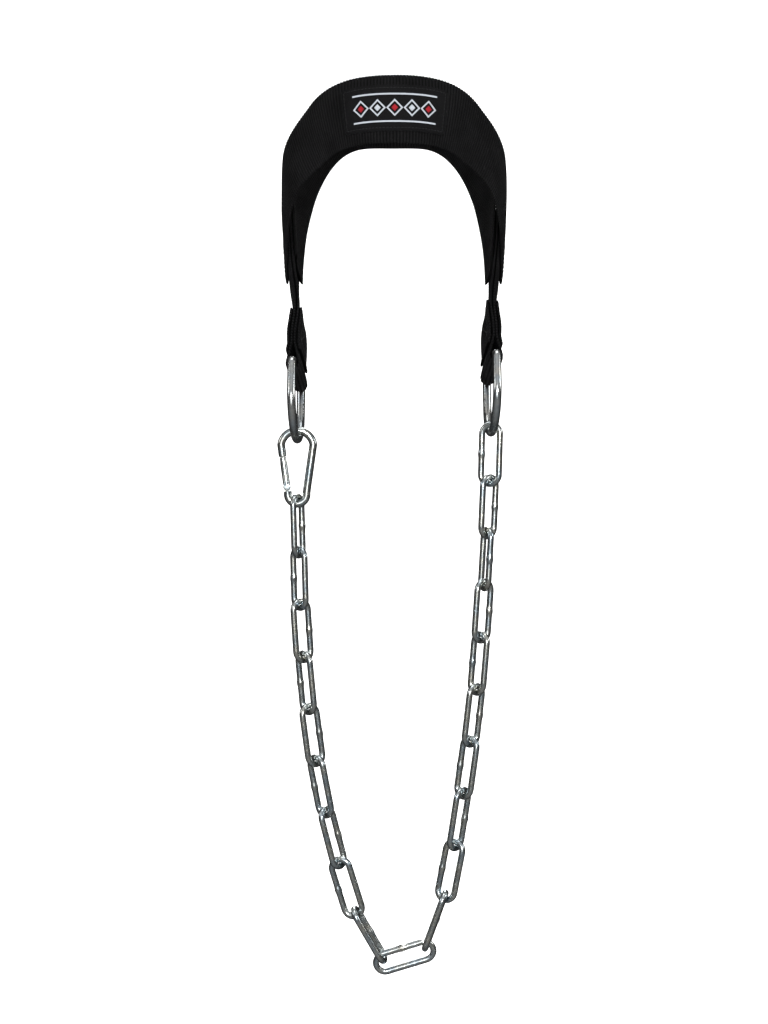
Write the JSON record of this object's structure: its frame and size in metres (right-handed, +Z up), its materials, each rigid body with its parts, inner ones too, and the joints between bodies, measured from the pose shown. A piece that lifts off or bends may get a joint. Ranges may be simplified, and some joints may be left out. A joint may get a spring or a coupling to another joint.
{
  "type": "head harness with chain",
  "caption": "Webbing head harness with a front and a rear band, side straps, D-rings and a spring snap that carry a hanging chain loop.",
  "frame": {"origin": "middle of the head's hollow, at the level where the head is widest", "axes": "+Z up to the crown and along the chain's hang, -Y out of the forehead, +X to the right of the picture"},
  "size_m": [0.1745, 0.1987, 0.6929],
  "materials": {
    "webbing": "heavy ribbed black webbing, matt",
    "patch": "smooth black woven patch, slight sheen",
    "ring_steel": "bright plated steel",
    "snap_steel": "bright zinc-plated steel",
    "chain_steel": "bright zinc-plated welded links"
  },
  "bodies": {
    "harness": {"front_band": "webbing", "rear_band": "webbing", "label_patch": "patch", "side_strap_left": "webbing", "side_strap_right": "webbing", "ring_left": "ring_steel", "ring_right": "ring_steel", "snap_hook": "snap_steel", "chain_link_01": "chain_steel", "chain_link_02": "chain_steel", "chain_link_03": "chain_steel", "chain_link_04": "chain_steel", "chain_link_05": "chain_steel", "chain_link_06": "chain_steel", "chain_link_07": "chain_steel", "chain_link_08": "chain_steel", "chain_link_09": "chain_steel", "chain_link_10": "chain_steel", "chain_link_11": "chain_steel", "chain_link_12": "chain_steel", "chain_link_13": "chain_steel", "chain_link_14": "chain_steel", "chain_link_15": "chain_steel", "chain_link_16": "chain_steel", "chain_link_17": "chain_steel", "chain_link_18": "chain_steel", "chain_link_19": "chain_steel", "chain_link_20": "chain_steel"},
    "gate": {"snap_gate": "snap_steel"}
  },
  "joints": [
    {"name": "snap_gate_hinge", "type": "hinge", "parent": "harness", "child": "gate", "pos_m": [-0.08064, -0.0347, -0.24327], "axis": [0, 1, 0], "range_deg": [0, 28], "stiffness_Nm_per_rad": 0.02, "springref_deg": -28.65}
  ]
}
